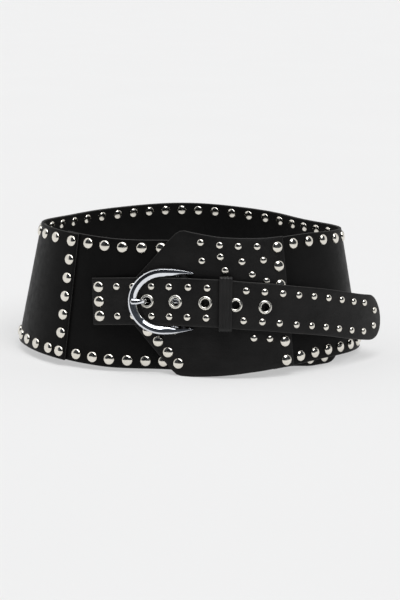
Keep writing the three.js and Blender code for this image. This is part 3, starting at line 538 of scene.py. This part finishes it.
tip = STRAP_LENGTH - STRAP_WIDTH / 2
strap_entries = [(d, STRAP_WIDTH / 2 - 0.5 + min(d, 0.5), s) for d, s in ((0.0, 0.5), (0.14, 0.84), (0.5, 1.0))]
strap_entries += [(s, STRAP_WIDTH / 2, 1.0) for s in np.arange(2.0, tip, 2.0)]
for a in np.radians(np.linspace(0, 88.4, 30)):
    strap_entries.append((tip + STRAP_WIDTH / 2 * math.sin(a), STRAP_WIDTH / 2 * math.cos(a), 1.0))
runs = np.array([e[0] for e in strap_entries])
halves = np.array([e[1] for e in strap_entries])
thick = np.array([e[2] for e in strap_entries]) * LEATHER / 2
cols, strap_marks = [], []
shares = np.linspace(-1, 1, 17)
for s in shares:
    cols.append((halves * s - np.sign(s) * (abs(s) == 1) * np.minimum(0.45, halves * 0.4), thick))
    strap_marks.append(0)
strap_marks[-1] = 1
for d, s in ((0.14, 0.86), (0.0, 0.55), (0.0, -0.55), (0.14, -0.86)):
    cols.append((halves - d * np.minimum(1, halves), thick * s))
    strap_marks.append(1)
for s in shares[::-1]:
    cols.append((halves * s - np.sign(s) * (abs(s) == 1) * np.minimum(0.45, halves * 0.4), -thick))
    strap_marks.append(2)
strap_marks[-1] = 1
for d, s in ((0.14, -0.86), (0.0, -0.55), (0.0, 0.55), (0.14, 0.86)):
    cols.append((-halves + d * np.minimum(1, halves), thick * s))
    strap_marks.append(1)
strap_rings = np.stack([strap_point(runs, c, o) for c, o in cols], 1)
strap = sweep("strap", strap_rings, STRAP, strap_marks, cap_mark=1)
eyelet_runs = [EYELET_FIRST + i * EYELET_PITCH for i in range(EYELET_COUNT)]
cut_pts, cut_faces = [], []
for i, (p, nrm, rise) in enumerate(strap_seats([(r, 0.0) for r in eyelet_runs])):
    g = lathe_points(p, nrm, rise, [(4.05, -2.6), (4.05, 2.6)], 40).reshape(-1, 3)
    o = len(cut_pts) * 80
    cut_faces += tube_faces(2, 40, o) + [tuple(o + k for k in range(40)), tuple(o + 40 + k for k in range(40))]
    cut_pts.append(g)
cutter = make("cutter", np.concatenate(cut_pts), cut_faces, [edge_black])
mod = strap.modifiers.new("holes", "BOOLEAN")
mod.operation, mod.object, mod.solver = "DIFFERENCE", cutter, "EXACT"
done = bpy.data.meshes.new_from_object(strap.evaluated_get(bpy.context.evaluated_depsgraph_get()))
strap.modifiers.clear()
strap.data = done
bpy.data.objects.remove(cutter)
strap.data.set_sharp_from_angle(angle=math.radians(55))
place(strap, "strap_leather", "buckle_strap")
stud_runs = [STRAP_FIRST_STUD] + [STRAP_SECOND_STUD + i * STRAP_PITCH for i in range(STRAP_STUDS)]
stud_pairs = [(r, s * STRAP_ROW) for r in stud_runs for s in (1, -1)] + TIP_STUDS
place(domes("strap_studs", strap_seats(stud_pairs), 1, STUD, 22, rivet_nickel), "rivet_nickel")
place(domes("strap_rivets", strap_seats([(STRAP_RIVET_AT, k * STRAP_RIVET_SPREAD) for k in (-1, 0, 1)]), 1, RIVET, 28, rivet_nickel), "rivet_nickel")

# eyelets: rolled front flange, barrel, rolled back
EYELET = [
    (3.40, -1.55), (3.40, 1.35), (3.50, 1.85), (3.78, 2.22), (4.20, 2.42), (4.70, 2.42), (5.25, 2.22), (5.70, 1.85), (5.95, 1.42),
    (5.98, 1.16), (5.80, 1.12), (4.00, 1.12), (3.95, 1.0), (3.95, -1.0), (4.10, -1.14), (4.85, -1.16), (4.95, -1.40), (4.70, -1.72),
    (4.10, -1.88), (3.60, -1.80)]
for i, (p, nrm, rise) in enumerate(strap_seats([(r, 0.0) for r in eyelet_runs])):
    g = lathe_points(p, nrm, rise, EYELET, 48)
    ob = sweep("eyelet_ring_" + str(i + 1), g, [eyelet_nickel], closed=True, caps=False, sharp=60)
    place(ob, "eyelet_nickel", "eyelet_" + str(i + 1))


# ------------------------------------------------------------------ keeper
def fillet(points, radius, steps=4):
    """A closed polygon with its corners rounded."""
    pts = np.asarray(points, float)
    n = len(pts)
    out = []
    for i in range(n):
        a, b, c = pts[i - 1], pts[i], pts[(i + 1) % n]
        u, v = unit(a - b), unit(c - b)
        half = math.acos(max(-1, min(1, float(u @ v)))) / 2
        r = radius[i] if hasattr(radius, "__len__") else radius
        d = min(r / math.tan(half), 0.45 * np.linalg.norm(a - b), 0.45 * np.linalg.norm(c - b))
        p0, p1 = b + u * d, b + v * d
        for k in range(steps + 1):
            t = k / steps
            out.append((1 - t) ** 2 * p0 + 2 * t * (1 - t) * b + t * t * p1)
    return np.array(out)


kp, ka, kw, kn = (v for v in strap_frame(KEEPER_AT))
lean = math.radians(KEEPER_TURN)
ka, kw = ka * math.cos(lean) + kw * math.sin(lean), kw * math.cos(lean) - ka * math.sin(lean)
path_a, path_b = KEEPER_TALL / 2 + KEEPER_WALL / 2, KEEPER_DEEP / 2 + KEEPER_WALL / 2
path = fillet([(path_a, -path_b), (path_a, path_b), (-path_a, path_b), (-path_a, -path_b)], 2.0, 6)
dense = []
for i in range(len(path)):
    a, b = path[i], path[(i + 1) % len(path)]
    k = max(1, int(np.linalg.norm(b - a) / 1.6))
    dense += [a + (b - a) * j / k for j in range(k)]
path = np.array(dense)
tangent = unit(np.roll(path, -1, 0) - np.roll(path, 1, 0))
outward = np.stack([tangent[:, 1], -tangent[:, 0]], 1)
if (outward * path).sum() < 0:
    outward = -outward
w, k = KEEPER_WIDTH / 2, KEEPER_WALL / 2
keeper_section = [(-w + 0.1, -k), (-w, -k * 0.5), (-w, k * 0.4), (-w + 0.35, k * 0.95)]
for s in np.linspace(-w + 0.9, w - 0.9, 25):
    groove = 0.3 * math.exp(-((s + 2.9) / 0.45) ** 2) + 0.3 * math.exp(-((s - 2.9) / 0.45) ** 2) + 0.22 * math.exp(-(s / 0.5) ** 2)
    keeper_section.append((s, k * 1.08 - groove))
keeper_section += [(w - 0.35, k * 0.95), (w, k * 0.4), (w, -k * 0.5), (w - 0.1, -k)]
rings = []
for q, o in zip(path, outward):
    rings.append([kp + ka * s + kw * (q[0] + o[0] * z) + kn * (q[1] + o[1] * z + KEEPER_PROUD) for s, z in keeper_section])
keeper = sweep("keeper", rings, [keeper_black], closed=True, caps=False, sharp=60)
place(keeper, "strap_leather", "keeper_loop")

# ------------------------------------------------------------------ buckle
bp, ba, bw, bn = strap_frame(BAR_AT)
sink = float(strap_out_at(np.degrees(strap_phi(BAR_AT)))) - BAR_OFFSET
tilt = math.radians(FRAME_TILT)
bo = bp - bn * sink
turn = math.radians(FRAME_TURN)
flat_x = -ba * math.cos(turn) + bw * math.sin(turn)
bx = flat_x * math.cos(tilt) + bn * math.sin(tilt)
by = bw * math.cos(turn) + ba * math.sin(turn)
bz = bn * math.cos(tilt) - flat_x * math.sin(tilt)


def in_buckle(x, y, z):
    x, y, z = (np.asarray(v, float)[..., None] for v in (x, y, z))
    return bo + bx * x + by * y + bz * z


stations = []
arm_length = FRAME_ROUND_AT - FRAME_ARM_END
arm_stops = np.concatenate([[0, 0.03, 0.07], np.linspace(0.12, 1, 18)[:-1]])


def arm(t, s):
    return (FRAME_ARM_END + t * arm_length, s * (FRAME_ARM_SPREAD + (FRAME_TALL - FRAME_ARM_SPREAD) * math.sin(t * math.pi / 2)),
            0.16 + 0.84 * math.sin(min(1, t * 1.25) * math.pi / 2))


stations += [arm(t, 1) for t in arm_stops]
for a in np.radians(np.linspace(90, -90, 73)):
    stations.append((FRAME_ROUND_AT + FRAME_LONG * math.cos(a), FRAME_TALL * math.sin(a), 1.0))
stations += [arm(t, -1) for t in arm_stops[::-1]]
st = np.array(stations)
d = np.gradient(st[:, :2], axis=0)
nrm2 = np.stack([-d[:, 1], d[:, 0]], 1)
nrm2 = unit(nrm2)
outline = fillet([(-1, -0.45), (-0.62, -1), (0.62, -1), (1, -0.45), (1, 0.30), (0.74, 0.96), (0.60, 0.985), (-0.08, 1.0), (-0.20, 0.97), (-0.72, 0.58), (-0.94, 0.22), (-1, -0.05)],
                 [0.12, 0.15, 0.15, 0.12, 0.12, 0.10, 0.02, 0.02, 0.03, 0.04, 0.06, 0.05], 3)
frame_rings = []
for (x, y, s), (nx, ny) in zip(st, nrm2):
    ww, hh = FRAME_WIDE / 2 * s, FRAME_THICK / 2 * (0.45 + 0.55 * s)
    roll = math.radians(FRAME_ROLL) * ny
    u = outline[:, 0] * ww * math.cos(roll) + outline[:, 1] * hh * math.sin(roll)
    v = outline[:, 1] * hh * math.cos(roll) - outline[:, 0] * ww * math.sin(roll)
    frame_rings.append(in_buckle(x + nx * u, y + ny * u, v))
buckle = sweep("buckle_horseshoe", frame_rings, [buckle_chrome], sharp=28)
place(buckle, "buckle_chrome", "buckle_frame")
ang = 2 * math.pi * np.arange(28) / 28
bar = sweep("buckle_bar", [in_buckle(BAR_RADIUS * np.cos(ang), y, BAR_RADIUS * np.sin(ang)) for y in np.linspace(-FRAME_TALL + 0.9, FRAME_TALL - 0.9, 9)],
            [bar_steel], sharp=40)
place(bar, "buckle_chrome")

# prong, along a smooth line through its points
pl = np.array(PRONG_LINE)
pt = np.concatenate([[0], np.cumsum(np.linalg.norm(np.diff(pl, axis=0), axis=1))])
fine = np.concatenate([np.linspace(0, pt[-1] - 1.2, 60), pt[-1] - 1.2 + 1.2 * np.sin(np.radians([18, 36, 54, 72, 86]))])


def spline(v):
    h = np.diff(pt)
    m = np.zeros_like(v)
    dv = np.diff(v) / h
    m[0], m[-1] = dv[0], dv[-1]
    m[1:-1] = (dv[:-1] * h[1:] + dv[1:] * h[:-1]) / (h[1:] + h[:-1])
    i = np.clip(np.searchsorted(pt, fine, side="right") - 1, 0, len(pt) - 2)
    t = (fine - pt[i]) / h[i]
    return ((2 * t ** 3 - 3 * t ** 2 + 1) * v[i] + (t ** 3 - 2 * t ** 2 + t) * h[i] * m[i]
            + (-2 * t ** 3 + 3 * t ** 2) * v[i + 1] + (t ** 3 - t ** 2) * h[i] * m[i + 1])


px_, pz_ = spline(pl[:, 0]), spline(pl[:, 1])
dx_, dz_ = np.gradient(px_), np.gradient(pz_)
ln = np.hypot(dx_, dz_)
nx_, nz_ = -dz_ / ln, dx_ / ln
near_end = np.clip((pt[-1] - fine) / 1.2, 0, 1)
size = np.where(near_end < 1, np.sqrt(np.maximum(0.02, 1 - (1 - near_end) ** 2)), 1.0)
prong_section = fillet([(-1, 0), (-0.72, -1), (0.72, -1), (1, 0), (0.62, 1), (-0.62, 1)], 0.3, 4)
prong_rings = []
for x, z, ux, uz, s in zip(px_, pz_, nx_, nz_, size):
    a = prong_section[:, 0] * PRONG_WIDE / 2 * s
    b = prong_section[:, 1] * PRONG_THICK / 2 * s
    prong_rings.append(in_buckle(x + ux * b, a, z + uz * b))
prong = sweep("prong", prong_rings, [buckle_chrome], sharp=50)
place(prong, "buckle_chrome", "buckle_prong")
ring_half = PRONG_WIDE / 2 + 0.2
knuckle_section = fillet([(1.8, -ring_half), (PRONG_RING, -ring_half), (PRONG_RING, ring_half), (1.8, ring_half)], 0.35, 3)
knuckle = sweep("prong_knuckle", [in_buckle(knuckle_section[:, 0] * math.cos(a), knuckle_section[:, 1], knuckle_section[:, 0] * math.sin(a)) for a in ang],
                [buckle_chrome], closed=True, caps=False, sharp=50)
place(knuckle, "buckle_chrome")

# chape: leather tab behind the strap, with a knuckle either side of the prong
tab_rings = []
for dd in np.linspace(-0.6, CHAPE_LENGTH, 24):
    run = BAR_AT + dd
    phi = float(strap_phi(run))
    low = float(flap_out(along_of(phi))) + LEATHER / 2 + CHAPE_LIFT - float(strap_out_at(math.degrees(phi)))
    sec = fillet([(-CHAPE_HALF, low), (CHAPE_HALF, low), (CHAPE_HALF, low + 2 * CHAPE_WALL), (-CHAPE_HALF, low + 2 * CHAPE_WALL)], 0.5, 3)
    start = dd < 3.2
    tab_rings.append(strap_point(np.full(len(sec), run), sec[:, 0], sec[:, 1]))
tab = sweep("chape_tab", tab_rings[3:], STRAP, sharp=50)
place(tab, "strap_leather", "buckle_chape")
outer = BAR_RADIUS + 0.35 + CHAPE_WALL
for s, label in ((1, "upper"), (-1, "lower")):
    sec = fillet([(BAR_RADIUS + 0.1, CHAPE_SLOT + 0.1), (outer, CHAPE_SLOT + 0.1), (outer, CHAPE_FOLD), (BAR_RADIUS + 0.1, CHAPE_FOLD)], 0.3, 3)
    fold = sweep("chape_fold_" + label, [in_buckle(sec[:, 0] * math.cos(a), s * sec[:, 1], sec[:, 0] * math.sin(a)) for a in ang], STRAP,
                 closed=True, caps=False, sharp=50)
    place(fold, "strap_leather")

# ------------------------------------------------------------------ floor, light, camera
floor_mat, ft, fb = node_material("studio_floor")
fco = ft.nodes.new("ShaderNodeTexCoord").outputs["Object"]
# painted glow: the floor emits light of its own (strength 0.42) on a lowered base colour, so it stays evenly bright and
# the shadows under the belt stay pale
ft.links.new(ramp(ft, noise(ft, fco, 3.0, 2, 0.5), [(0.3, (0.422, 0.422, 0.422)), (0.7, (0.428, 0.428, 0.428))]), fb.inputs["Base Color"])
fb.inputs["Emission Color"].default_value = (1.0, 1.0, 1.0, 1.0)
fb.inputs["Emission Strength"].default_value = 0.42
fb.inputs["Roughness"].default_value = 1.0
fb.inputs["Specular IOR Level"].default_value = 0.0
fm = bpy.data.meshes.new("studio_floor")
fm.from_pydata([(-40, -40, 0), (40, -40, 0), (40, 40, 0), (-40, 40, 0)], [], [(0, 1, 2, 3)])
fm.materials.append(floor_mat)
floor = bpy.data.objects.new("studio_floor", fm)
bpy.context.scene.collection.objects.link(floor)

world = bpy.data.worlds.new("studio")
bpy.context.scene.world = world
world.use_nodes = True
wt = world.node_tree
bg = wt.nodes["Background"]
wco = wt.nodes.new("ShaderNodeTexCoord").outputs["Generated"]
sep = wt.nodes.new("ShaderNodeSeparateXYZ")
wt.links.new(wco, sep.inputs[0])


def math_node(op, a, b=None, clamp=False):
    n = wt.nodes.new("ShaderNodeMath")
    n.operation = op
    n.use_clamp = clamp
    for i, v in enumerate((a, b)):
        if v is None:
            continue
        if isinstance(v, (int, float)):
            n.inputs[i].default_value = v
        else:
            wt.links.new(v, n.inputs[i])
    return n.outputs[0]


def step_node(v, a, b):
    """0 below a, 1 above b, smooth between."""
    n = wt.nodes.new("ShaderNodeMapRange")
    n.interpolation_type = "SMOOTHSTEP"
    n.inputs["From Min"].default_value = a
    n.inputs["From Max"].default_value = b
    wt.links.new(v, n.inputs["Value"])
    return n.outputs[0]


def blend(low, high, fac):
    return math_node("ADD", math_node("MULTIPLY", math_node("SUBTRACT", 1.0, fac), low), math_node("MULTIPLY", fac, high))


def along_dir(v):
    n = wt.nodes.new("ShaderNodeVectorMath")
    n.operation = "DOT_PRODUCT"
    wt.links.new(wco, n.inputs[0])
    n.inputs[1].default_value = v
    return n.outputs["Value"]


# pale walls at the sides and back, a dark room in front, one large light panel overhead
X, Y, Z = sep.outputs["X"], sep.outputs["Y"], sep.outputs["Z"]
flat_len = math_node("MAXIMUM", math_node("SQRT", math_node("ADD", math_node("MULTIPLY", X, X), math_node("MULTIPLY", Y, Y))), 0.001)
to_front = step_node(math_node("DIVIDE", along_dir((0.26, -0.966, 0.0)), flat_len), 0.02, 0.16)
to_side = step_node(math_node("DIVIDE", math_node("ABSOLUTE", X), flat_len), 0.5, 0.8)
dark = math_node("MULTIPLY", to_front, math_node("SUBTRACT", 1.0, step_node(Z, 0.965, 0.995)), True)
shapes = wt.nodes.new("ShaderNodeTexNoise")
shapes.inputs["Scale"].default_value = 2.2
shapes.inputs["Detail"].default_value = 2.0
wt.links.new(wco, shapes.inputs["Vector"])
room = math_node("ADD", math_node("MULTIPLY", step_node(shapes.outputs["Fac"], 0.42, 0.66), 0.06), 0.014)
wall = math_node("ADD", math_node("MULTIPLY", to_side, 0.66), math_node("ADD", math_node("MULTIPLY", step_node(Z, 0.35, 0.7), 0.25), 0.14))
level = blend(wall, room, dark)
ahead = along_dir((0.0826, -0.543, 0.836))
safe = math_node("MAXIMUM", ahead, 0.001)
across = math_node("ABSOLUTE", math_node("DIVIDE", along_dir((0.750, -0.519, -0.410)), safe))
upward = math_node("ABSOLUTE", math_node("SUBTRACT", math_node("DIVIDE", along_dir((0.6566, 0.6606, 0.3643)), safe), 0.26))
lit = math_node("MULTIPLY", math_node("SUBTRACT", 1.0, step_node(across, 0.53, 0.60)),
                math_node("SUBTRACT", 1.0, step_node(upward, 0.27, 0.33)))
lit = math_node("MULTIPLY", lit, math_node("GREATER_THAN", ahead, 0.05), True)
level = blend(level, 5.0, lit)
tint = wt.nodes.new("ShaderNodeMix")
tint.data_type = "RGBA"
tint.inputs[6].default_value = (1.0, 1.0, 1.0, 1.0)
tint.inputs[7].default_value = (0.80, 0.88, 1.0, 1.0)
wt.links.new(math_node("MULTIPLY", dark, math_node("SUBTRACT", 1.0, lit)), tint.inputs[0])
scale = wt.nodes.new("ShaderNodeVectorMath")
scale.operation = "SCALE"
wt.links.new(tint.outputs[2], scale.inputs[0])
wt.links.new(level, scale.inputs["Scale"])
wt.links.new(scale.outputs[0], bg.inputs["Color"])
bg.inputs["Strength"].default_value = 1.0

sc = bpy.context.scene
sc.view_settings.view_transform = "Standard"
sc.view_settings.look = "None"
cam = bpy.data.cameras.new("view")
cam.lens = 84.0
cam.sensor_width = 36.0
cam.sensor_fit = "AUTO"
cam.clip_start, cam.clip_end = 0.05, 200.0
camera = bpy.data.objects.new("view", cam)
sc.collection.objects.link(camera)
from mathutils import Matrix
camera.matrix_world = (Matrix.Translation((0.001776, -1.255376, 0.33521)) @ Matrix.Rotation(math.radians(90 - 13.33), 4, "X")
                       @ Matrix.Rotation(math.radians(0.735), 4, "Z"))
sc.camera = camera
